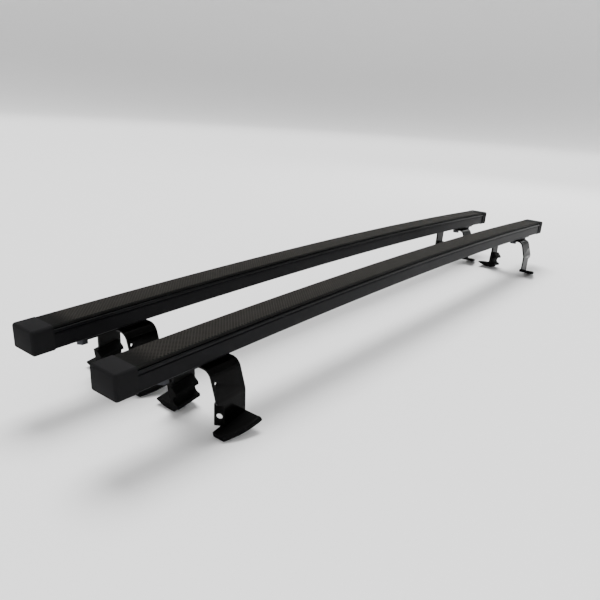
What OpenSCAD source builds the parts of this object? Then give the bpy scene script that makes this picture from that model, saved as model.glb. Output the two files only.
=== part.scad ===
// Pair of arched roof bars, each standing on two tall clamp legs and two short clamp brackets.
// X runs along the bars, Y from the front bar to the rear bar, Z up. The origin is under the
// middle of the pair, on the surface that the foot pads stand on.

/* [Bars] */
// Length of a bar over its end caps
bar_length = 1300; // [1100:10:1500]
// Width of the bar tube
tube_width = 41; // [38:0.5:50]
// Height of the bar tube, from its underside to the shoulder beside the strip
tube_height = 21.5; // [18:0.5:30]
// Wall of the bar tube
tube_wall = 2; // [1.5:0.1:2.5]
// Rise of the middle of a bar above its ends
arch_rise = 12; // [6:1:20]
// Gap between the feet of the front bar and the feet of the rear bar
pair_gap = 13; // [4:1:700]

/* [Top strip] */
// Width of the rubber strip on top
strip_width = 40; // [34:0.5:41]
// Thickness of the rubber strip
strip_thickness = 4; // [3:0.5:6]
// Height of the groove that shows under the edge of the strip
groove_height = 4; // [3:0.5:6]
// Width of the raised rail that carries the strip
rail_width = 31; // [26:0.5:33]
// Width of the slot that holds the root of the strip
slot_width = 8; // [6:0.5:12]
// Depth of the root of the strip
root_depth = 3.5; // [3:0.5:5]

/* [End caps] */
// Length of an end cap outside the tube
cap_length = 27; // [20:1:40]
// How far the cap stands proud of the tube
cap_proud = 1.2; // [0.6:0.1:2]
// Length of the plug inside the tube
plug_length = 22; // [14:1:30]
// Rounding of the cap's edges
cap_round = 4; // [2:0.5:6]

/* [Feet] */
// Distance from the cap's plug to the foot's outer bolt
outer_bolt_inset = 25; // [15:1:150]
// Distance from the middle of the foot to its outer bolt
outer_bolt_offset = 66; // [45:1:80]
// Diameter of the bolts
bolt_d = 8; // [6:1:8]

/* [Tall legs] */
// Width of a tall leg
leg_width = 47; // [40:1:54]
// Thickness of the leg's steel
leg_thickness = 3; // [2.5:0.25:3.25]
// Distance from the middle of the bar to the front face of the leg's lower part
leg_reach = 40; // [36:0.5:46]
// Height of the bend in the middle of the leg, below the bar
leg_kink_drop = 40; // [36:1:48]
// Height of the middle of the pad's top face, below the bar
pad_drop = 74.5; // [72:0.5:78]
// Lean of the leg above its middle bend, from upright
leg_lean = 18; // [14:1:24]
// Radius of the leg's top bend, to the middle of the steel
leg_top_radius = 13; // [10:1:16]
// Width of the ear that is folded back on the outer edge
ear_width = 12; // [10:1:15]
// Angle that the ear is folded back by
ear_fold = 60; // [50:5:90]
// Diameter of the hole in the ear
ear_hole_d = 7.5; // [6:0.5:9]
// Diameter of the small hole in the leg's upper part
small_hole_d = 4; // [3:0.5:5]

/* [Pads] */
// How far the rubber pad reaches past the leg at each side
pad_overhang = 1.5; // [1.5:0.5:6]
// Depth of the rubber pad, front to back
pad_depth = 31; // [28:1:38]
// Thickness of the rubber pad
pad_thickness = 5.5; // [5.5:0.5:8]
// Slope of the pad, down towards the end of the bar
pad_tilt = 12; // [6:1:14]
// Diameter of the rounded bead along the pad's front edge
bead_d = 7; // [7:0.5:9]

/* [Short brackets] */
// Width of the short bracket's stem
stem_width = 34; // [30:1:42]
// Thickness of the short bracket's steel
stem_thickness = 4; // [3:0.25:4.5]
// Distance from the middle of the bar to the back face of the stem
stem_reach = 44; // [40:0.5:48]
// Radius of the stem's bend, to the middle of the steel
stem_bend_radius = 7; // [5:0.5:9]
// Width of the flange under the bar
flange_width = 30; // [24:1:38]

/* [Jaws] */
// Height of the jaw's upper end, below the bar
jaw_top_drop = 47; // [44:1:50]
// Length of the lip behind the stem
lip_length = 26; // [22:1:32]
// Length of the two lobes in front of the stem
lobe_length = 7.5; // [7:0.5:10]
// Slope of the jaw, down towards the end of the bar
jaw_tilt = 8; // [5:1:12]
// Thickness of the rubber on the stem
jaw_skin = 1.8; // [1.2:0.1:2.5]

/* [Hidden] */
// Running clearance between a bolt and its nut plate
thread_clearance = 0.05;
// Clearance of the rubber parts on the steel, and of the plugs and strips
fit_clearance = 0.15;
// Gap under the curved face of a bar, to the flat steel below it
seat_gap = 0.25;
// How far the cap stands above the strip
cap_top_proud = 0.3;
// Gap between the bolt shank and the holes in the tube and the steel
bolt_hole_clearance = 0.5;
bolt_hole_d = bolt_d + 2 * bolt_hole_clearance;
// Short stretches that make up the arch
arch_steps = 16;
// Points on a rounded corner
corner_steps = 6;
// Fall of the ledges in a bar's section, away from its middle
ledge_fall = 0.12;
// Rounding of the tube's lower corners, its shoulders, and the strip's upper edges
tube_round = 2.5;
shoulder_round = 1.2;
strip_round = 1.6;
edge_break = 0.5;
// Segments of round faces
$fn = 72;

// Heights in the section of a bar, measured down from the top of the strip
shoulder_depth = strip_thickness + groove_height;
bar_height = shoulder_depth + tube_height;
rail_top = -strip_thickness;
// Arc through the top of the strip
arch_radius = (pow(bar_length / 2, 2) + pow(arch_rise, 2)) / (2 * arch_rise);
underside_radius = arch_radius - bar_height;
bar_angle = asin(bar_length / 2 / arch_radius);
cap_angle = bar_angle - asin(cap_length / arch_radius);
foot_distance = bar_length / 2 - cap_length - plug_length - outer_bolt_inset - outer_bolt_offset;
foot_angle = asin(foot_distance / arch_radius);

// Steel under the bar: the bracket's flange first, then the leg's flange
flange_top = -seat_gap;
flange_under = flange_top - stem_thickness;
leg_flange_mid = flange_under - leg_thickness / 2;
leg_flange_under = flange_under - leg_thickness;
washer_t = 1.6;
washer_d = 2 * bolt_d;
spring_t = 2;
spring_d = 1.7 * bolt_d;
head_h = 0.66 * bolt_d;
head_flats = 1.625 * bolt_d;
nut_plate_t = 6;
nut_plate_w = 24;
nut_plate_margin = 12;
nut_seat = tube_wall + 0.05;

// Middle line of the leg's steel, in the YZ plane
leg_mid = leg_reach - leg_thickness / 2;
kink_radius = 18;
leg_slope_run = (leg_kink_drop + leg_flange_mid - leg_top_radius * (1 - sin(leg_lean))) * tan(leg_lean);
leg_bend_y = -(leg_mid - leg_slope_run - leg_top_radius * cos(leg_lean));
leg_flange_back = 15;
ear_x = leg_width / 2 - ear_width;
ear_top_drop = leg_kink_drop + 8;
ear_corner = 8;
ear_lap = 4;
ear_bottom_drop = pad_drop + ear_x * tan(pad_tilt);
ear_length = ear_width + leg_thickness / 2;
ear_hole_rise = 12;
ear_hole_margin = 2.5;
small_hole_drop = 21;
small_hole_margin = 5;
leg_end_drop = pad_drop + leg_width / 2;

// Rubber pad and the steel tongue inside it
pad_length = leg_width + 2 * pad_overhang;
pad_back = 2.5;
pad_sole = 1;
pad_mid_drop = pad_drop + pad_thickness / 2;
pad_half = pad_thickness / 2;
pad_edge_round = 0.8;
pad_front_radius = 110;
tongue_margin = 11;
tongue_inset = 3;

// Lowest corner of a pad, which stands on the ground
low_x = pad_length / 2 * cos(pad_tilt) - (pad_half + pad_sole) * sin(pad_tilt);
low_drop = pad_mid_drop + pad_length / 2 * sin(pad_tilt) + (pad_half + pad_sole) * cos(pad_tilt);
arch_centre_z = -((underside_radius - low_drop) * cos(foot_angle) - low_x * sin(foot_angle));

// Jaw, whose lowest corner stands on the ground too
jaw_half = stem_width / 2 + 1;
jaw_low_drop = low_drop + (low_x - jaw_half * cos(jaw_tilt)) * tan(foot_angle);
jaw_bottom_drop = jaw_low_drop - jaw_half * sin(jaw_tilt);
jaw_front = stem_reach - stem_thickness - jaw_skin;
jaw_back = stem_reach + jaw_skin;
jaw_toe = 6;
lobe_t = 5.5;
lobe_round = 1.5;
notch_height = 13;
notch_mid = jaw_toe + lobe_t + notch_height / 2;
lip_t = 3.5;
lip_rise = 5;
lip_fillet = 5;
heel_length = 10;
stem_end_drop = jaw_bottom_drop - 9;

// The pair reaches further to the front than to the back, so it is moved to stay centred
front_reach = leg_reach - pad_back - leg_thickness + pad_depth;
back_reach = jaw_back + lip_length;
pair_shift = (front_reach - back_reach) / 2;
bar_spacing = front_reach + back_reach + pair_gap;

// Points of a quarter or part circle, for a polygon
function arc(cx, cy, r, from, to, steps = corner_steps) =
    [for (i = [0:steps]) let (a = from + (to - from) * i / steps) [cx + r * cos(a), cy + r * sin(a)]];

// Outline of a rectangle with rounded corners
function round_box(x0, x1, y0, y1, r) = concat(
    arc(x0 + r, y0 + r, r, 180, 270), arc(x1 - r, y0 + r, r, 270, 360),
    arc(x1 - r, y1 - r, r, 0, 90), arc(x0 + r, y1 - r, r, 90, 180));

function reversed(points) = [for (i = [len(points) - 1:-1:0]) points[i]];

// One face of a bent sheet. A bend is [centre y, centre z, radius, start angle, end angle, steps].
function sheet_face(bends, offset) =
    [for (b = bends) each arc(b[0], b[1], b[2] + offset, b[3], b[4], b[5])];

// Section of sheet steel that starts level at y0, goes round its bends, and ends upright at z1
module bent_sheet(y0, bends, z1, t) {
    outer = sheet_face(bends, t / 2);
    inner = reversed(sheet_face(bends, -t / 2));
    polygon(concat([[y0, outer[0][1]]], outer, [[outer[len(outer) - 1][0], z1], [inner[0][0], z1]],
        inner, [[y0, inner[len(inner) - 1][1]]]));
}

// Draws an outline of [y, z] points, extruded along X from x0 to x1
module along_x(x0, x1) {
    translate([x0, 0, 0]) rotate([90, 0, 90]) linear_extrude(x1 - x0) children();
}

// Point of the arch: half width and height of the section, at an angle along the arch
function arch_point(v, side, angle) =
    [(arch_radius + v[1]) * sin(angle), side * v[0], arch_centre_z + (arch_radius + v[1]) * cos(angle)];

// Sweeps a section along the arch. The section is a list of [half width, height] from its top down.
module sweep(levels, reach) {
    m = len(levels);
    row = 2 * m;
    polyhedron(
        points = [for (j = [0:arch_steps]) let (angle = reach * (2 * j / arch_steps - 1))
            for (i = [0:m - 1]) for (side = [-1, 1]) arch_point(levels[i], side, angle)],
        faces = concat(
            [for (i = [0:m - 2]) [2 * i, 2 * i + 2, 2 * i + 3, 2 * i + 1]],
            [for (i = [0:m - 2]) let (q = arch_steps * row + 2 * i) [q, q + 1, q + 3, q + 2]],
            [for (j = [0:arch_steps - 1]) let (q = j * row) [q, q + 1, q + row + 1, q + row]],
            [for (j = [0:arch_steps - 1]) let (q = j * row + row - 2) [q, q + row, q + row + 1, q + 1]],
            [for (j = [0:arch_steps - 1], i = [0:m - 2]) let (q = j * row + 2 * i)
                [q, q + row, q + row + 2, q + 2]],
            [for (j = [0:arch_steps - 1], i = [0:m - 2]) let (q = j * row + 2 * i + 1)
                [q, q + 2, q + row + 2, q + row]]),
        convexity = 6);
}

// Block that cuts away what lies below its top face
module block_below(size) {
    translate([-size / 2, -size / 2, -size]) cube(size);
}

// Puts a part at an angle along the arch, on the underside of the bar, on the left or the right
module on_underside(angle, side) {
    mirror([side < 0 ? 1 : 0, 0, 0]) translate([0, 0, arch_centre_z]) rotate([0, angle, 0])
        translate([0, 0, underside_radius]) children();
}

module at_foot(side) {
    on_underside(foot_angle, side) children();
}

// Puts a part at each of the two bolts of each foot
module at_bolts() {
    for (side = [-1, 1])
        at_foot(side)
            for (bolt = [0, 1]) translate([bolt * outer_bolt_offset, 0, 0]) children();
}

module on_bar(bar) {
    translate([0, bar * bar_spacing / 2 + pair_shift, 0]) children();
}

// Outside of the tube: a wide box with rounded shoulders, and a narrower rail on top
function tube_outside() = let (w = tube_width / 2, r = rail_width / 2, low = -shoulder_depth - ledge_fall) concat(
    [[r - edge_break, rail_top], [r, rail_top - edge_break], [r, -shoulder_depth], [w - shoulder_round, low]],
    [for (a = [30:30:90]) [w - shoulder_round * (1 - sin(a)), low - shoulder_round * (1 - cos(a))]],
    [for (a = [0:22.5:90]) [w - tube_round * (1 - cos(a)), tube_round * (1 - sin(a)) - bar_height]]);

// Hollow of the tube, with the slot that opens through the top of the rail
function tube_inside() = let (w = tube_width / 2 - tube_wall, r = rail_width / 2 - tube_wall,
    slot_low = rail_top - tube_wall, low = -shoulder_depth - tube_wall, floor = tube_wall - bar_height) [
    [slot_width / 2, rail_top + 1], [slot_width / 2, slot_low], [r, slot_low - ledge_fall],
    [r, low], [w, low - ledge_fall], [w, floor + 1], [w - 1, floor]];

module bar_tube() {
    color("#17181a") difference() {
        sweep(tube_outside(), cap_angle);
        sweep(tube_inside(), cap_angle + 0.05);
        at_bolts() translate([0, 0, -1]) cylinder(d = bolt_hole_d, h = tube_wall + 2);
    }
}

// Rubber strip with rounded top edges and a barbed root that snaps into the rail's slot
function strip_outline() = let (w = strip_width / 2, root = slot_width / 2 - fit_clearance, barb = 0.8,
    under = -strip_thickness, barb_top = under - tube_wall - ledge_fall) concat(
    [for (a = [0:22.5:90]) [w - strip_round * (1 - sin(a)), -strip_round * (1 - cos(a))]],
    [[w, under + ledge_fall + edge_break], [w - edge_break, under + ledge_fall], [root, under],
    [root, barb_top], [root + barb, barb_top - ledge_fall], [root + barb, under - root_depth]]);

module top_strip() {
    color("#3a3835") sweep(strip_outline(), cap_angle);
}

// Moulded cap: a rounded block over the end of the bar, and a hollow plug inside the tube
module end_cap(side) {
    w = tube_width / 2 + cap_proud;
    low = -cap_proud;
    high = bar_height + cap_top_proud;
    r = cap_round;
    plug_w = tube_width / 2 - tube_wall - fit_clearance;
    plug_low = tube_wall + fit_clearance;
    plug_high = tube_height - tube_wall - fit_clearance;
    plug_wall = 2;
    color("#222225") on_underside(cap_angle, side) difference() {
        union() {
            hull() {
                for (y = [-w + r, w - r], z = [low + r, high - r])
                    translate([cap_length - r, y, z]) sphere(r, $fn = 24);
                for (y = [-w + r, w - r], z = [low + r, high - r])
                    translate([0.05, y, z]) rotate([0, 90, 0]) cylinder(r = r, h = 1, $fn = 24);
            }
            translate([-plug_length, -plug_w, plug_low])
                cube([plug_length + 2, 2 * plug_w, plug_high - plug_low]);
        }
        translate([-plug_length - 1, -plug_w + plug_wall, plug_low + plug_wall])
            cube([plug_length + 1, 2 * (plug_w - plug_wall), plug_high - plug_low - 2 * plug_wall]);
    }
}

// The tall leg's two bends: under the bar, and in the middle where the lean ends
function leg_bends() = [
    [leg_bend_y, leg_flange_mid - leg_top_radius, leg_top_radius, 90, 180 - leg_lean, 10],
    [kink_radius - leg_mid, -leg_kink_drop - kink_radius * tan(leg_lean / 2), kink_radius,
        180 - leg_lean, 180, 4]];

// Lower outer corner of the leg's sheet, which is folded back as an ear
module ear_cut() {
    depth = 3 * leg_reach;
    translate([ear_x, -depth + 1, -leg_end_drop]) cube([leg_width, depth, leg_end_drop - ear_top_drop]);
    difference() {
        translate([ear_x + ear_width - ear_corner, -depth + 1, -ear_top_drop - 1])
            cube([leg_width, depth, ear_corner + 1]);
        translate([ear_x + ear_width - ear_corner, 1, -ear_top_drop + ear_corner])
            rotate([90, 0, 0]) cylinder(r = ear_corner, h = depth + 2);
    }
}

// Ear with its hole, folded back from the leg's face along an upright line
module ear() {
    top = ear_top_drop - ear_lap;
    chamfer = ear_width / 2;
    translate([ear_x - leg_thickness / 2, -leg_reach, 0]) rotate([0, 0, ear_fold]) difference() {
        translate([0, 0, -ear_bottom_drop]) cube([ear_length, leg_thickness, ear_bottom_drop - top]);
        translate([ear_length - ear_hole_d / 2 - ear_hole_margin, -1, ear_hole_rise - ear_bottom_drop])
            rotate([-90, 0, 0]) cylinder(d = ear_hole_d, h = leg_thickness + 2);
        translate([ear_length, -1, -top]) rotate([0, 45, 0])
            cube([chamfer, 3 * leg_thickness, chamfer], center = true);
    }
}

// Frame of the sloping pad: its middle plane
module on_pad_plane() {
    translate([0, 0, -pad_mid_drop]) rotate([0, pad_tilt, 0]) children();
}

// Box of the steel tongue that the leg turns into, grown by a clearance
module tongue(c) {
    front = front_reach - tongue_margin + c;
    x0 = tongue_inset - leg_width / 2 - c;
    translate([x0, -front, -leg_thickness / 2 - c])
        cube([ear_x + c - x0, front - leg_reach + leg_thickness + c, leg_thickness + 2 * c]);
}

module tall_leg(side) {
    w = leg_width / 2;
    color("#0b0b0c") at_foot(side) difference() {
        union() {
            difference() {
                along_x(-w, w)
                    bent_sheet(leg_flange_back, leg_bends(), -leg_end_drop, leg_thickness);
                ear_cut();
                on_pad_plane() translate([0, 0, -leg_thickness / 2]) block_below(4 * leg_width);
            }
            ear();
            on_pad_plane() tongue(0);
        }
        translate([0, 0, leg_flange_under - 1]) cylinder(d = bolt_hole_d, h = leg_thickness + 2);
        translate([w - small_hole_margin, 0, -small_hole_drop])
            rotate([90, 0, 0]) cylinder(d = small_hole_d, h = 2 * leg_reach);
    }
}

// Rubber pad: a flat boot over the tongue, with a rounded bead along its curved front edge
module pad(side) {
    back = front_reach - pad_depth;
    low = -pad_half - pad_sole;
    bead_r = bead_d / 2;
    turn = pad_front_radius - bead_r;
    c = fit_clearance;
    color("#0a0a0a") at_foot(side) difference() {
        on_pad_plane() intersection() {
            along_x(-pad_length / 2, pad_length / 2)
                polygon(round_box(-front_reach - 1, -back, low - 1, pad_half + 1, pad_edge_round));
            translate([-pad_length / 2, pad_front_radius - front_reach, 0]) union() {
                intersection() {
                    translate([0, 0, low]) cylinder(r = turn, h = pad_half - low, $fn = 144);
                    translate([-1, -pad_front_radius, low])
                        cube([pad_length + 2, pad_depth, pad_half - low]);
                }
                rotate([0, 0, -90]) rotate_extrude(angle = asin(pad_length / turn) + 2, $fn = 180)
                    translate([turn, low + bead_r]) circle(bead_r, $fn = 32);
            }
        }
        on_pad_plane() tongue(c);
        along_x(-leg_width / 2 - c, ear_x + c) translate([-leg_reach - c, -pad_mid_drop])
            square([leg_thickness + 2 * c, pad_mid_drop]);
    }
}

// The short bracket's one bend, from under the bar down to its stem
function stem_bends() = let (mid = stem_reach - stem_thickness / 2, top = flange_top - stem_thickness / 2)
    [[mid - stem_bend_radius, top - stem_bend_radius, stem_bend_radius, 90, 0, 8]];

module on_jaw_plane(drop) {
    translate([0, 0, -drop]) rotate([0, jaw_tilt, 0]) children();
}

// Outline of the flange under the bar, square at the stem and round at its outer end
function flange_outline() = let (w = stem_width / 2, r = flange_width / 2,
    end = outer_bolt_offset + washer_d / 2 + 4 - r)
    concat([[-w, -r]], arc(end, 0, r, -90, 90, 24), [[-w, r]]);

module short_bracket(side) {
    w = stem_width / 2;
    color("#161617") at_foot(side) difference() {
        union() {
            along_x(-w, w)
                bent_sheet(flange_width / 2 - 2, stem_bends(), -stem_end_drop - stem_width / 3, stem_thickness);
            translate([0, 0, flange_under]) linear_extrude(stem_thickness) polygon(flange_outline());
        }
        on_jaw_plane(stem_end_drop) block_below(4 * stem_width);
        for (x = [0, outer_bolt_offset]) translate([x, 0, flange_under - 1])
            cylinder(d = bolt_hole_d, h = stem_thickness + 2);
    }
}

// Outline of the rubber jaw: two lobes and a notch in front, a long lip behind
module jaw_section() {
    top = jaw_bottom_drop - jaw_top_drop;
    tip = jaw_front - lobe_length;
    notch_y = jaw_front - notch_height / 2;
    notch_low = notch_mid - notch_height / 2;
    notch_high = notch_mid + notch_height / 2;
    end = jaw_back + lip_length;
    difference() {
        polygon(concat(
            arc(jaw_front + jaw_toe / 2, jaw_toe / 2, jaw_toe / 2, 180, 270, 4),
            [[jaw_back + heel_length, 0]],
            arc(end - lip_t / 2, lip_rise + lip_t / 2, lip_t / 2, -80, 80, 5),
            arc(jaw_back + lip_fillet, lip_rise + lip_t + lip_fillet + 0.5, lip_fillet, 280, 180, 5),
            [[jaw_back, top], [jaw_front, top]],
            arc(tip + lobe_round, notch_high + lobe_t - lobe_round, lobe_round, 90, 180, 3),
            [[tip, notch_high], [tip, notch_low]],
            arc(tip + lobe_round, notch_low - lobe_t + lobe_round, lobe_round, 180, 270, 3),
            [[jaw_front, jaw_toe - 2]]));
        translate([notch_y, notch_mid]) circle(d = notch_height, $fn = 40);
        translate([tip - 1, notch_low]) square([notch_y - tip + 1, notch_height]);
    }
}

module jaw(side) {
    c = fit_clearance;
    color("#0a0a0a") at_foot(side) difference() {
        on_jaw_plane(jaw_bottom_drop) along_x(-jaw_half, jaw_half) jaw_section();
        difference() {
            translate([-stem_width / 2 - c, stem_reach - stem_thickness - c, -jaw_bottom_drop])
                cube([stem_width + 2 * c, stem_thickness + 2 * c, jaw_bottom_drop]);
            on_jaw_plane(stem_end_drop) translate([0, 0, -c]) block_below(4 * stem_width);
        }
    }
}

// Height of the steel's lower face at the inner and at the outer bolt
function clamp_face(bolt) = bolt == 0 ? leg_flange_under : flange_under;

module at_clamp_faces() {
    for (side = [-1, 1])
        at_foot(side)
            for (bolt = [0, 1]) translate([bolt * outer_bolt_offset, 0, clamp_face(bolt)]) children();
}

module washers() {
    color("#2b2b2d") at_clamp_faces() translate([0, 0, -washer_t]) difference() {
        cylinder(d = washer_d, h = washer_t);
        translate([0, 0, -1]) cylinder(d = bolt_d + 0.8, h = washer_t + 2);
    }
}

// Split spring washers
module spring_washers() {
    color("#2b2b2d") at_clamp_faces() translate([0, 0, -washer_t - spring_t]) difference() {
        cylinder(d = spring_d, h = spring_t);
        translate([0, 0, -1]) cylinder(d = bolt_d + 0.4, h = spring_t + 2);
        translate([0, -0.6, -1]) cube([spring_d, 1.2, spring_t + 2]);
    }
}

// Hexagon head bolts, up through the steel and the tube into the nut plate
module bolts() {
    under = washer_t + spring_t;
    color("#232325")
        for (side = [-1, 1])
            at_foot(side)
                for (bolt = [0, 1]) translate([bolt * outer_bolt_offset, 0, 0]) {
                    base = clamp_face(bolt) - under;
                    translate([0, 0, base]) cylinder(d = bolt_d, h = nut_seat + nut_plate_t + 2 - base);
                    translate([0, 0, base - head_h]) cylinder(d = head_flats / cos(30), h = head_h, $fn = 6);
                }
}

// Tapped steel plate inside the tube, one at each foot
module nut_plates() {
    length = outer_bolt_offset + 2 * nut_plate_margin;
    color("#8c8d90") for (side = [-1, 1]) at_foot(side) difference() {
        translate([-nut_plate_margin, -nut_plate_w / 2, nut_seat]) cube([length, nut_plate_w, nut_plate_t]);
        for (x = [0, outer_bolt_offset])
            translate([x, 0, nut_seat - 1]) cylinder(d = bolt_d + 2 * thread_clearance, h = nut_plate_t + 2);
    }
}

on_bar(-1) bar_tube();  // front_bar_tube
on_bar(-1) top_strip();  // front_top_strip
on_bar(-1) end_cap(-1);  // front_left_cap
on_bar(-1) end_cap(1);  // front_right_cap
on_bar(-1) tall_leg(-1);  // front_left_leg
on_bar(-1) tall_leg(1);  // front_right_leg
on_bar(-1) pad(-1);  // front_left_pad
on_bar(-1) pad(1);  // front_right_pad
on_bar(-1) short_bracket(-1);  // front_left_bracket
on_bar(-1) short_bracket(1);  // front_right_bracket
on_bar(-1) jaw(-1);  // front_left_jaw
on_bar(-1) jaw(1);  // front_right_jaw
on_bar(-1) bolts();  // front_bolts
on_bar(-1) washers();  // front_washers
on_bar(-1) spring_washers();  // front_spring_washers
on_bar(-1) nut_plates();  // front_nut_plates
on_bar(1) bar_tube();  // rear_bar_tube
on_bar(1) top_strip();  // rear_top_strip
on_bar(1) end_cap(-1);  // rear_left_cap
on_bar(1) end_cap(1);  // rear_right_cap
on_bar(1) tall_leg(-1);  // rear_left_leg
on_bar(1) tall_leg(1);  // rear_right_leg
on_bar(1) pad(-1);  // rear_left_pad
on_bar(1) pad(1);  // rear_right_pad
on_bar(1) short_bracket(-1);  // rear_left_bracket
on_bar(1) short_bracket(1);  // rear_right_bracket
on_bar(1) jaw(-1);  // rear_left_jaw
on_bar(1) jaw(1);  // rear_right_jaw
on_bar(1) bolts();  // rear_bolts
on_bar(1) washers();  // rear_washers
on_bar(1) spring_washers();  // rear_spring_washers
on_bar(1) nut_plates();  // rear_nut_plates
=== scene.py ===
import math

import bmesh
import bpy
from mathutils import Matrix, Vector


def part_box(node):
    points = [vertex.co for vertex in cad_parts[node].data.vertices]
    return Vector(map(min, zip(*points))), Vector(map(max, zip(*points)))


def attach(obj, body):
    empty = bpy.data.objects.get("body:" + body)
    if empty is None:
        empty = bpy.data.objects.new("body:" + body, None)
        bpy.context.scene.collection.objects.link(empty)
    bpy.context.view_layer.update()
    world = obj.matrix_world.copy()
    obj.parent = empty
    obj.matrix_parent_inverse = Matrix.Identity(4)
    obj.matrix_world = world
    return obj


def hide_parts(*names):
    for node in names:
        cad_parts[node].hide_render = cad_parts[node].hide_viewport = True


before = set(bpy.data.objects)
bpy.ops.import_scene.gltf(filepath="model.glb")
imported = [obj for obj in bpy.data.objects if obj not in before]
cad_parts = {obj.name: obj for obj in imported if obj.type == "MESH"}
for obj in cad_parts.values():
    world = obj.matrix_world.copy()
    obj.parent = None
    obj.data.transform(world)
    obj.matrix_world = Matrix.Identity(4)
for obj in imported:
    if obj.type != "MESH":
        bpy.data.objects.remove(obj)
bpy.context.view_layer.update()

# Bar tubes
# Each bar is one aluminium extrusion, bent to a shallow arch: a wide hollow box with a narrower
# slotted rail on its back. A rounded ridge with a groove under it runs along each shoulder.
# It is powder coated black.
BAR_NAMES = ("front", "rear")
BAR_LENGTH = 1.300
ARCH_RISE = 0.012
ARCH_RADIUS = ((BAR_LENGTH / 2) ** 2 + ARCH_RISE ** 2) / (2 * ARCH_RISE)
CAP_LENGTH = 0.027
TUBE_REACH = math.asin(BAR_LENGTH / 2 / ARCH_RADIUS) - math.asin(CAP_LENGTH / ARCH_RADIUS)
ARCH_STEPS = 64
TUBE_HALF = 0.0205
TUBE_WALL = 0.0020
TUBE_LOW = -0.0295
SHOULDER = -0.0080
RAIL_HALF = 0.0155
RAIL_TOP = -0.0040
RAIL_CHAMFER = 0.0005
SLOT_HALF = 0.0040
RIDGE_WIDTH = 0.0008
RIDGE_HEIGHT = 0.0030
RIDGE_ROUND = 0.0012
RIDGE_PROUD = 0.0012
RIDGE_STEPS = 4
RUBBED_FROM = 0.0206
GROOVE_WIDTH = 0.0024
GROOVE_DEPTH = 0.0014
GROOVE_DROP = 0.0034
TUBE_ROUND = 0.0025
TUBE_ROUND_STEPS = 6
SEAM = 1e-7
SHARP_ANGLE = 35
COAT_HEX = "#0b0b0d"
ORANGE_PEEL = 0.0016
DUST_PATCH = 0.11


def srgb(text):
    """Linear colour of an sRGB hex value."""
    parts = [int(text[i:i + 2], 16) / 255 for i in (1, 3, 5)]
    return [c / 12.92 if c <= 0.04045 else ((c + 0.055) / 1.055) ** 2.4 for c in parts] + [1.0]


def add_node(tree, kind, settings=None, links=None):
    """A node with its settings (sockets by name, or attributes) and its links (socket: output)."""
    made = tree.nodes.new(kind)
    for key, value in (settings or {}).items():
        if key in made.inputs:
            made.inputs[key].default_value = value
        else:
            setattr(made, key, value)
    for key, output in (links or {}).items():
        tree.links.new(output, made.inputs[key])
    return made


def new_material(name):
    """A node material without nodes, and its tree."""
    material = bpy.data.materials.new(name)
    material.use_nodes = True
    material.node_tree.nodes.clear()
    return material, material.node_tree


def spun_along_arch(name, outline, middle_y, top_z):
    """A closed outline of (y, height) points, spun along the bar's arch, with closed ends."""
    centre = Vector((0, middle_y, top_z - ARCH_RADIUS))
    start = Matrix.Rotation(-TUBE_REACH, 3, "Y")
    bm = bmesh.new()
    ring = [bm.verts.new(centre + start @ Vector((0, y, ARCH_RADIUS + h))) for y, h in outline]
    edges = [bm.edges.new((ring[i - 1], ring[i])) for i in range(len(ring))]
    bm.faces.new(ring)
    spun = bmesh.ops.spin(
        bm, geom=edges, cent=centre, axis=(0, 1, 0), angle=2 * TUBE_REACH,
        steps=ARCH_STEPS, use_duplicate=False)
    last = [e for e in spun["geom_last"] if isinstance(e, bmesh.types.BMEdge)]
    bmesh.ops.contextual_create(bm, geom=last)
    bmesh.ops.remove_doubles(bm, verts=bm.verts, dist=SEAM)
    bmesh.ops.recalc_face_normals(bm, faces=bm.faces)
    return piece_from(bm, name, SHARP_ANGLE)


def piece_from(bm, name, smooth_angle):
    """An object made of a bmesh, smooth except at edges sharper than the angle."""
    mesh = bpy.data.meshes.new(name)
    for face in bm.faces:
        face.smooth = True
    bm.to_mesh(mesh)
    bm.free()
    mesh.set_sharp_from_angle(angle=math.radians(smooth_angle))
    piece = bpy.data.objects.new(name, mesh)
    bpy.context.scene.collection.objects.link(piece)
    return piece


def fit(piece, material, node):
    """Gives a finished piece its material and its body, and hides the CAD node it stands for."""
    piece.data.materials.append(material)
    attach(piece, "root")
    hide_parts(node)


def arc(y, h, radius, start, end, steps):
    """Points of a part circle round (y, h)."""
    turns = [math.radians(start + (end - start) * i / steps) for i in range(steps + 1)]
    return [(y + radius * math.cos(t), h + radius * math.sin(t)) for t in turns]


def mirrored(points):
    """The same points on the other side of the middle."""
    return [(-y, h) for y, h in points]


ridge_y = TUBE_HALF - RIDGE_WIDTH
ridge_top = SHOULDER + RIDGE_HEIGHT
groove_top = ridge_top - GROOVE_DROP
outside_half = [
    (SLOT_HALF, RAIL_TOP), (RAIL_HALF - RAIL_CHAMFER, RAIL_TOP),
    (RAIL_HALF, RAIL_TOP - RAIL_CHAMFER), (RAIL_HALF, SHOULDER),
    (ridge_y, SHOULDER), (ridge_y, ridge_top),
]
outside_half += arc(
    TUBE_HALF + RIDGE_PROUD - RIDGE_ROUND, ridge_top - RIDGE_ROUND, RIDGE_ROUND, 90, 0,
    RIDGE_STEPS)
outside_half += [
    (TUBE_HALF + RIDGE_PROUD, groove_top), (TUBE_HALF - GROOVE_DEPTH, groove_top),
    (TUBE_HALF - GROOVE_DEPTH, groove_top - GROOVE_WIDTH), (TUBE_HALF, groove_top - GROOVE_WIDTH),
]
outside_half += arc(
    TUBE_HALF - TUBE_ROUND, TUBE_LOW + TUBE_ROUND, TUBE_ROUND, 0, -90, TUBE_ROUND_STEPS)
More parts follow.
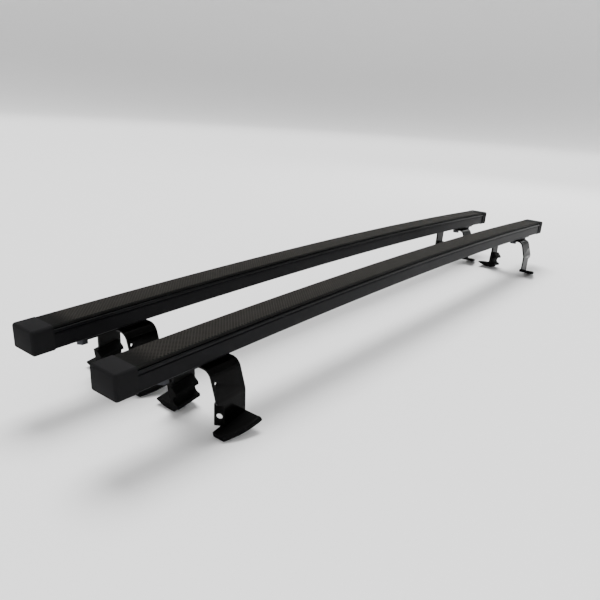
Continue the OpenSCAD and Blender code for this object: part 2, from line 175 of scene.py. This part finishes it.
inside_half = [
    (SLOT_HALF, RAIL_TOP - TUBE_WALL), (RAIL_HALF - TUBE_WALL, RAIL_TOP - TUBE_WALL),
    (RAIL_HALF - TUBE_WALL, SHOULDER - TUBE_WALL), (TUBE_HALF - TUBE_WALL, SHOULDER - TUBE_WALL),
    (TUBE_HALF - TUBE_WALL, TUBE_LOW + TUBE_WALL),
]
tube_outline = (outside_half + mirrored(outside_half[::-1]) + mirrored(inside_half)
                + inside_half[::-1])

# Powder coat has a satin shine and a faint orange peel. A thin film of dust varies its shine.
powder_coat, tree = new_material("satin black powder coat")
place = add_node(tree, "ShaderNodeTexCoord").outputs["Object"]
peel = add_node(
    tree, "ShaderNodeTexNoise", {"Scale": 1 / ORANGE_PEEL, "Detail": 2.0}, {"Vector": place})
peel_bump = add_node(
    tree, "ShaderNodeBump", {"Strength": 0.12, "Distance": 0.0002}, {"Height": peel.outputs["Fac"]})
dust = add_node(
    tree, "ShaderNodeTexNoise", {"Scale": 1 / DUST_PATCH, "Detail": 4.0}, {"Vector": place})
dust_range = add_node(
    tree, "ShaderNodeMapRange", {"To Min": 0.40, "To Max": 0.50}, {"Value": dust.outputs["Fac"]})
coat = add_node(
    tree, "ShaderNodeBsdfPrincipled",
    {"Base Color": srgb(COAT_HEX), "IOR": 1.5, "Specular IOR Level": 0.05},
    {"Roughness": dust_range.outputs["Result"], "Normal": peel_bump.outputs["Normal"]})
add_node(tree, "ShaderNodeOutputMaterial", links={"Surface": coat.outputs["BSDF"]})

# The ridge stands proud and is rubbed smoother by hands and straps, so it draws a light line.
rubbed_coat, tree = new_material("rubbed black powder coat")
rubbed = add_node(
    tree, "ShaderNodeBsdfPrincipled",
    {"Base Color": srgb(COAT_HEX), "Roughness": 0.28, "IOR": 1.5, "Specular IOR Level": 0.06})
add_node(tree, "ShaderNodeOutputMaterial", links={"Surface": rubbed.outputs["BSDF"]})

# Each bar's outlines hang from its middle and its top, which the box of its top strip in model.glb
# gives.
bars = {}
for bar in BAR_NAMES:
    low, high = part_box(f"{bar}_top_strip")
    bars[bar] = ((low[1] + high[1]) / 2, high[2])
    tube = spun_along_arch(f"{bar}_tube_shell", tube_outline, *bars[bar])
    fit(tube, powder_coat, f"{bar}_bar_tube")
    tube.data.materials.append(rubbed_coat)
    for face in tube.data.polygons:
        face.material_index = 1 if abs(face.center.y - bars[bar][0]) > RUBBED_FROM else 0

# Top strips
# A long EPDM rubber extrusion that snaps into the slot of the rail, so that loads don't slide.
# Its crown is pressed with a fine crossed hatch, and its smooth edges hang over the rail.
# The hatch fades towards the caps.
STRIP_HALF = 0.0200
STRIP_EDGE = 0.0034
STRIP_ROUND = 0.0030
STRIP_ROUND_STEPS = 5
STRIP_UNDER = -0.0039
STRIP_CHAMFER = 0.0005
ROOT_HALF = 0.00385
BARB_HALF = 0.0046
BARB_TOP = -0.0063
ROOT_LOW = -0.0075
WAVE_REPEAT = 0.314
HATCH_PITCH = 0.0034
HATCH_TURNS = (45, -45)
HATCH_FADE = 0.590
HATCH_END = 0.612
CROWN_SLOPE = 0.8
# The bare sides' colour is darker partly as painted shade.
BARE_AND_SHADE_HEX = "#0d0d0c"
HATCH_LIGHT = "#282623"
HATCH_DARK = "#0b0b0a"

strip_half = arc(STRIP_HALF - STRIP_ROUND, -STRIP_ROUND, STRIP_ROUND, 90, 0, STRIP_ROUND_STEPS)
strip_half += [
    (STRIP_HALF, -STRIP_EDGE), (STRIP_HALF - STRIP_CHAMFER, STRIP_UNDER),
    (ROOT_HALF, STRIP_UNDER), (ROOT_HALF, BARB_TOP), (BARB_HALF, BARB_TOP), (BARB_HALF, ROOT_LOW),
]
strip_outline = strip_half + mirrored(strip_half[::-1])

# EPDM rubber is a dull brownish black, and its pressed hatch catches light on the raised parts.
# The hatch is drawn coarser than the real one, so that it shows. A wave texture repeats every
# WAVE_REPEAT divided by its scale.
strip_rubber, tree = new_material("hatched EPDM rubber")
place = add_node(tree, "ShaderNodeTexCoord").outputs["Object"]
hatch = []
for turn in HATCH_TURNS:
    turned = add_node(
        tree, "ShaderNodeMapping", {"Rotation": (0, 0, math.radians(turn))}, {"Vector": place})
    hatch.append(add_node(
        tree, "ShaderNodeTexWave",
        {"wave_type": "BANDS", "bands_direction": "X", "Scale": WAVE_REPEAT / HATCH_PITCH},
        {"Vector": turned.outputs["Vector"]}))
crossed = add_node(
    tree, "ShaderNodeMath", {"operation": "MAXIMUM"},
    {0: hatch[0].outputs["Fac"], 1: hatch[1].outputs["Fac"]})
along = add_node(tree, "ShaderNodeSeparateXYZ", links={"Vector": place})
from_middle = add_node(
    tree, "ShaderNodeMath", {"operation": "ABSOLUTE"}, {0: along.outputs["X"]})
worn = add_node(
    tree, "ShaderNodeMapRange",
    {"From Min": HATCH_FADE, "From Max": HATCH_END, "To Min": 1.0, "To Max": 0.45},
    {"Value": from_middle.outputs[0]})
pressed = add_node(
    tree, "ShaderNodeMath", {"operation": "MULTIPLY"},
    {0: crossed.outputs[0], 1: worn.outputs["Result"]})
rubber_colour = add_node(tree, "ShaderNodeValToRGB", links={"Fac": pressed.outputs[0]})
rubber_colour.color_ramp.elements[0].position = 0.45
rubber_colour.color_ramp.elements[0].color = srgb(HATCH_DARK)
rubber_colour.color_ramp.elements[1].position = 0.95
rubber_colour.color_ramp.elements[1].color = srgb(HATCH_LIGHT)
hatch_bump = add_node(
    tree, "ShaderNodeBump", {"Strength": 0.5, "Distance": 0.0006}, {"Height": pressed.outputs[0]})
rubber = add_node(
    tree, "ShaderNodeBsdfPrincipled", {"Roughness": 0.8, "IOR": 1.52, "Specular IOR Level": 0.04},
    {"Base Color": rubber_colour.outputs["Color"], "Normal": hatch_bump.outputs["Normal"]})
add_node(tree, "ShaderNodeOutputMaterial", links={"Surface": rubber.outputs["BSDF"]})

# Off the crown the extruded rubber is bare and a little smoother. Its darker colour is partly the
# bare rubber's own and partly painted shade, for the sides that face away from the overhead light.
smooth_and_shaded_rubber, tree = new_material("smooth EPDM rubber")
bare_shaded_side = add_node(
    tree, "ShaderNodeBsdfPrincipled",
    {"Base Color": srgb(BARE_AND_SHADE_HEX), "Roughness": 0.6, "IOR": 1.52, "Specular IOR Level": 0.06})
add_node(tree, "ShaderNodeOutputMaterial", links={"Surface": bare_shaded_side.outputs["BSDF"]})

for bar in BAR_NAMES:
    strip = spun_along_arch(f"{bar}_grip_strip", strip_outline, *bars[bar])
    fit(strip, strip_rubber, f"{bar}_top_strip")
    strip.data.materials.append(smooth_and_shaded_rubber)
    # Faces that look up get the hatched rubber. The sides get the darker rubber, whose colour also
    # paints their shade.
    for face in strip.data.polygons:
        face.material_index = 0 if face.normal.z > CROWN_SLOPE else 1

# End caps
# Moulded black polypropylene blocks with rounded edges, pushed into the tube's ends on a plug.
CAP_HEX = "#131314"
CAP_GRAIN = 0.0011
WELD = 0.0001
FLAT_ANGLE = 0.4
FACET_ANGLE = 25


def dressed(node, name, edge=0, above=-1):
    """A welded copy of a CAD node, its flat faces joined, its edges above a height broken."""
    bm = bmesh.new()
    bm.from_mesh(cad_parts[node].data)
    bmesh.ops.remove_doubles(bm, verts=bm.verts, dist=WELD)
    bmesh.ops.dissolve_limit(
        bm, angle_limit=math.radians(FLAT_ANGLE), verts=bm.verts, edges=bm.edges,
        use_dissolve_boundaries=False)
    if not edge:
        return piece_from(bm, name, SHARP_ANGLE)
    broken = [e for e in bm.edges if e.is_manifold
              and e.calc_face_angle() > math.radians(SHARP_ANGLE)
              and min(v.co.z for v in e.verts) > above]
    bmesh.ops.bevel(
        bm, geom=broken, offset=edge, segments=2, profile=0.5, affect="EDGES",
        clamp_overlap=False, material=-1)
    return piece_from(bm, name, FACET_ANGLE)


# The mould's spark-eroded grain makes the plastic matt. It is drawn coarser than it is.
grained_plastic, tree = new_material("moulded black polypropylene")
place = add_node(tree, "ShaderNodeTexCoord").outputs["Object"]
grain = add_node(
    tree, "ShaderNodeTexNoise", {"Scale": 1 / CAP_GRAIN, "Detail": 3.0}, {"Vector": place})
grain_bump = add_node(
    tree, "ShaderNodeBump", {"Strength": 0.25, "Distance": 0.0002},
    {"Height": grain.outputs["Fac"]})
plastic = add_node(
    tree, "ShaderNodeBsdfPrincipled",
    {"Base Color": srgb(CAP_HEX), "Roughness": 0.75, "IOR": 1.49, "Specular IOR Level": 0.06},
    {"Normal": grain_bump.outputs["Normal"]})
add_node(tree, "ShaderNodeOutputMaterial", links={"Surface": plastic.outputs["BSDF"]})

for bar in BAR_NAMES:
    for end in ("left", "right"):
        cap = dressed(f"{bar}_{end}_cap", f"{bar}_{end}_end_cap")
        fit(cap, grained_plastic, f"{bar}_{end}_cap")

# Tall legs
# Bent from 3 mm steel strip: a flange under the bar, a round bend, a leaning face, a foot inside
# the pad and an ear folded back with a hole. Edges lower than PAD_TOP are in the pad and square.
LEG_HEX = "#030303"
LEG_EDGE = 0.0004
PAD_TOP = 0.0100
ENAMEL_WAVE = 0.014

# Dipped enamel dries to a deep gloss with slow waves, which bend what it mirrors.
gloss_enamel, tree = new_material("gloss black enamel")
place = add_node(tree, "ShaderNodeTexCoord").outputs["Object"]
wave = add_node(
    tree, "ShaderNodeTexNoise", {"Scale": 1 / ENAMEL_WAVE, "Detail": 1.0}, {"Vector": place})
wave_bump = add_node(
    tree, "ShaderNodeBump", {"Strength": 0.10, "Distance": 0.0008}, {"Height": wave.outputs["Fac"]})
enamel = add_node(
    tree, "ShaderNodeBsdfPrincipled",
    {"Base Color": srgb(LEG_HEX), "Roughness": 0.16, "IOR": 1.5, "Specular IOR Level": 0.05},
    {"Normal": wave_bump.outputs["Normal"]})
add_node(tree, "ShaderNodeOutputMaterial", links={"Surface": enamel.outputs["BSDF"]})

for bar in BAR_NAMES:
    for end in ("left", "right"):
        leg = dressed(f"{bar}_{end}_leg", f"{bar}_{end}_tall_leg", LEG_EDGE, PAD_TOP)
        fit(leg, gloss_enamel, f"{bar}_{end}_leg")

# Pads
# Soft black rubber boots, moulded and pushed over the legs' feet. A rounded bead stiffens the
# curved front edge.
PAD_HEX = "#060606"
PAD_GRAIN = 0.0014

# Soft moulded rubber is a dull deep black with fine pores, which are drawn coarser than they are.
boot_rubber, tree = new_material("moulded black rubber")
place = add_node(tree, "ShaderNodeTexCoord").outputs["Object"]
pores = add_node(
    tree, "ShaderNodeTexNoise", {"Scale": 1 / PAD_GRAIN, "Detail": 3.0}, {"Vector": place})
pore_bump = add_node(
    tree, "ShaderNodeBump", {"Strength": 0.3, "Distance": 0.0003}, {"Height": pores.outputs["Fac"]})
boot = add_node(
    tree, "ShaderNodeBsdfPrincipled",
    {"Base Color": srgb(PAD_HEX), "Roughness": 0.7, "IOR": 1.52, "Specular IOR Level": 0.05},
    {"Normal": pore_bump.outputs["Normal"]})
add_node(tree, "ShaderNodeOutputMaterial", links={"Surface": boot.outputs["BSDF"]})

for bar in BAR_NAMES:
    for end in ("left", "right"):
        pad = dressed(f"{bar}_{end}_pad", f"{bar}_{end}_rubber_pad")
        fit(pad, boot_rubber, f"{bar}_{end}_pad")

# Short brackets
# Bent from 4 mm steel strip: a long flange bolted under the bar with two bolts, and a stem
# behind it, on which the jaw sits.
BRACKET_HEX = "#080808"
BRACKET_EDGE = 0.0004

# Their powder coat is duller than the legs' enamel, with more orange peel than the tube's.
dull_coat, tree = new_material("dull black powder coat")
place = add_node(tree, "ShaderNodeTexCoord").outputs["Object"]
speck = add_node(
    tree, "ShaderNodeTexNoise", {"Scale": 1 / ORANGE_PEEL, "Detail": 2.0}, {"Vector": place})
speck_bump = add_node(
    tree, "ShaderNodeBump", {"Strength": 0.2, "Distance": 0.0002}, {"Height": speck.outputs["Fac"]})
dull = add_node(
    tree, "ShaderNodeBsdfPrincipled",
    {"Base Color": srgb(BRACKET_HEX), "Roughness": 0.4, "IOR": 1.5, "Specular IOR Level": 0.07},
    {"Normal": speck_bump.outputs["Normal"]})
add_node(tree, "ShaderNodeOutputMaterial", links={"Surface": dull.outputs["BSDF"]})

for bar in BAR_NAMES:
    for end in ("left", "right"):
        bracket = dressed(f"{bar}_{end}_bracket", f"{bar}_{end}_short_bracket", BRACKET_EDGE)
        fit(bracket, dull_coat, f"{bar}_{end}_bracket")

# Jaws
# Extruded black rubber, slit and pushed over the stems. Two lobes and a notch grip the rail, and
# the long lip behind them rests on the roof.
JAW_HEX = "#070707"
JAW_EDGE = 0.0003
DRAG_LINE = 0.0011
DRAG_STRETCH = 20

# The die leaves long fine drag lines along extruded rubber, drawn coarser than they are.
extruded_rubber, tree = new_material("extruded black rubber")
place = add_node(tree, "ShaderNodeTexCoord").outputs["Object"]
drag = add_node(
    tree, "ShaderNodeMapping", {"Scale": (1 / DRAG_STRETCH, 1, 1)}, {"Vector": place})
streak = add_node(
    tree, "ShaderNodeTexNoise", {"Scale": 1 / DRAG_LINE, "Detail": 2.0},
    {"Vector": drag.outputs["Vector"]})
streak_bump = add_node(
    tree, "ShaderNodeBump", {"Strength": 0.2, "Distance": 0.0002},
    {"Height": streak.outputs["Fac"]})
seal = add_node(
    tree, "ShaderNodeBsdfPrincipled",
    {"Base Color": srgb(JAW_HEX), "Roughness": 0.8, "IOR": 1.52, "Specular IOR Level": 0.05},
    {"Normal": streak_bump.outputs["Normal"]})
add_node(tree, "ShaderNodeOutputMaterial", links={"Surface": seal.outputs["BSDF"]})

for bar in BAR_NAMES:
    for end in ("left", "right"):
        jaw = dressed(f"{bar}_{end}_jaw", f"{bar}_{end}_rubber_jaw", JAW_EDGE)
        fit(jaw, extruded_rubber, f"{bar}_{end}_jaw")

# Bolts and washers
# M8 hexagon head steel bolts with flat and spring washers, turned up through both flanges into
# the nut plates.
ZINC_HEX = "#343538"
BOLT_EDGE = 0.0003
WASHER_EDGE = 0.0002

# Black zinc plating stays a dark metal with a soft shine.
black_zinc, tree = new_material("black zinc plated steel")
zinc = add_node(
    tree, "ShaderNodeBsdfPrincipled",
    {"Base Color": srgb(ZINC_HEX), "Metallic": 1.0, "Roughness": 0.38})
add_node(tree, "ShaderNodeOutputMaterial", links={"Surface": zinc.outputs["BSDF"]})

for bar in BAR_NAMES:
    for kind, edge in (
            ("bolts", BOLT_EDGE), ("washers", WASHER_EDGE), ("spring_washers", WASHER_EDGE)):
        fastener = dressed(f"{bar}_{kind}", f"{bar}_black_{kind}", edge)
        fit(fastener, black_zinc, f"{bar}_{kind}")

# Nut plates
# Tapped steel plates inside the tube, which take the bolts. They can't be seen once the caps
# are on.
PLATE_HEX = "#a9abae"
PLATE_EDGE = 0.0004

# Bright zinc plating is a light grey metal.
bright_zinc, tree = new_material("bright zinc plated steel")
plate_steel = add_node(
    tree, "ShaderNodeBsdfPrincipled",
    {"Base Color": srgb(PLATE_HEX), "Metallic": 1.0, "Roughness": 0.35})
add_node(tree, "ShaderNodeOutputMaterial", links={"Surface": plate_steel.outputs["BSDF"]})

for bar in BAR_NAMES:
    plate = dressed(f"{bar}_nut_plates", f"{bar}_tapped_plates", PLATE_EDGE)
    fit(plate, bright_zinc, f"{bar}_nut_plates")

# Floor, light and camera
# A pale floor that curves up to a round wall, under soft studio light, and the camera where the
# photograph was taken from: before the near end of the bars, above them, and slightly rolled.
FLOOR_REACH = 7.0
BOWL_RADIUS = 2.5
BOWL_HEIGHT = 5.0
BOWL_ARC_STEPS = 12
BOWL_STEPS = 96
BOWL_ANGLE = 60
BOWL_SEAM = 1e-5
FLOOR_HEX = "#f4f4f4"
WORLD_HEX = "#ffffff"
WORLD_STRENGTH = 0.55
SUN_STRENGTH = 4.8
SUN_ANGLE = math.radians(35)
SUN_DIRECTION = Vector((-0.35, -0.35, -1))
FAR_LIGHT_PLACE = Vector((2.2, 0.4, 1.2))
FAR_LIGHT_TARGET = Vector((0.4, 0, 0.05))
FAR_LIGHT_SIZE = 1.2
FAR_LIGHT_POWER = 14
CAMERA_PLACE = Vector((-0.958, -0.5463, 0.3726))
CAMERA_YAW = math.radians(37.05)
CAMERA_PITCH = math.radians(-18.46)
CAMERA_ROLL = math.radians(-3.88)
FOCAL_PIXELS = 602.6
IMAGE_PIXELS = 600.0
SENSOR_WIDTH = 36.0
CLIP_START = 0.01

bm = bmesh.new()
profile = [(0, 0)] + arc(FLOOR_REACH, BOWL_RADIUS, BOWL_RADIUS, -90, 0, BOWL_ARC_STEPS)
profile.append((FLOOR_REACH + BOWL_RADIUS, BOWL_HEIGHT))
ring = [bm.verts.new((y, 0, h)) for y, h in profile]
line = [bm.edges.new((ring[i], ring[i + 1])) for i in range(len(ring) - 1)]
bmesh.ops.spin(
    bm, geom=line, cent=(0, 0, 0), axis=(0, 0, 1), angle=2 * math.pi, steps=BOWL_STEPS,
    use_merge=True)
bmesh.ops.remove_doubles(bm, verts=bm.verts, dist=BOWL_SEAM)
bmesh.ops.recalc_face_normals(bm, faces=bm.faces)
bmesh.ops.reverse_faces(bm, faces=[f for f in bm.faces if f.normal.z < 0])
floor = piece_from(bm, "floor", BOWL_ANGLE)

# Flat paint without shine, so that the floor shows only soft shadows.
floor_paint, tree = new_material("pale floor paint")
paint = add_node(
    tree, "ShaderNodeBsdfPrincipled",
    {"Base Color": srgb(FLOOR_HEX), "Roughness": 0.9, "Specular IOR Level": 0.1})
add_node(tree, "ShaderNodeOutputMaterial", links={"Surface": paint.outputs["BSDF"]})
floor.data.materials.append(floor_paint)

world = bpy.data.worlds.new("studio")
world.use_nodes = True
background = world.node_tree.nodes["Background"]
background.inputs["Color"].default_value = srgb(WORLD_HEX)
background.inputs["Strength"].default_value = WORLD_STRENGTH
bpy.context.scene.world = world


def studio_light(name, kind, energy, location, direction):
    """Puts a light in the scene, turned to a direction, and gives its data."""
    data = bpy.data.lights.new(name, kind)
    data.energy = energy
    light = bpy.data.objects.new(name, data)
    light.location = location
    light.rotation_euler = direction.to_track_quat("-Z", "Y").to_euler()
    bpy.context.scene.collection.objects.link(light)
    return data


overhead = studio_light("overhead", "SUN", SUN_STRENGTH, (0, 0, 0), SUN_DIRECTION)
overhead.angle = SUN_ANGLE
far_side = studio_light(
    "far_side", "AREA", FAR_LIGHT_POWER, FAR_LIGHT_PLACE, FAR_LIGHT_TARGET - FAR_LIGHT_PLACE)
far_side.size = FAR_LIGHT_SIZE

forward = Vector((
    math.cos(CAMERA_PITCH) * math.cos(CAMERA_YAW),
    math.cos(CAMERA_PITCH) * math.sin(CAMERA_YAW),
    math.sin(CAMERA_PITCH)))
level = Vector((math.sin(CAMERA_YAW), -math.cos(CAMERA_YAW), 0))
down = forward.cross(level)
right = math.cos(CAMERA_ROLL) * level + math.sin(CAMERA_ROLL) * down
up = math.sin(CAMERA_ROLL) * level - math.cos(CAMERA_ROLL) * down
camera_data = bpy.data.cameras.new("camera")
camera_data.sensor_width = SENSOR_WIDTH
camera_data.lens = SENSOR_WIDTH * FOCAL_PIXELS / IMAGE_PIXELS
camera_data.clip_start = CLIP_START
camera = bpy.data.objects.new("camera", camera_data)
camera_turn = Matrix((right, up, -forward)).transposed().to_4x4()
camera.matrix_world = Matrix.Translation(CAMERA_PLACE) @ camera_turn
bpy.context.scene.collection.objects.link(camera)
bpy.context.scene.camera = camera
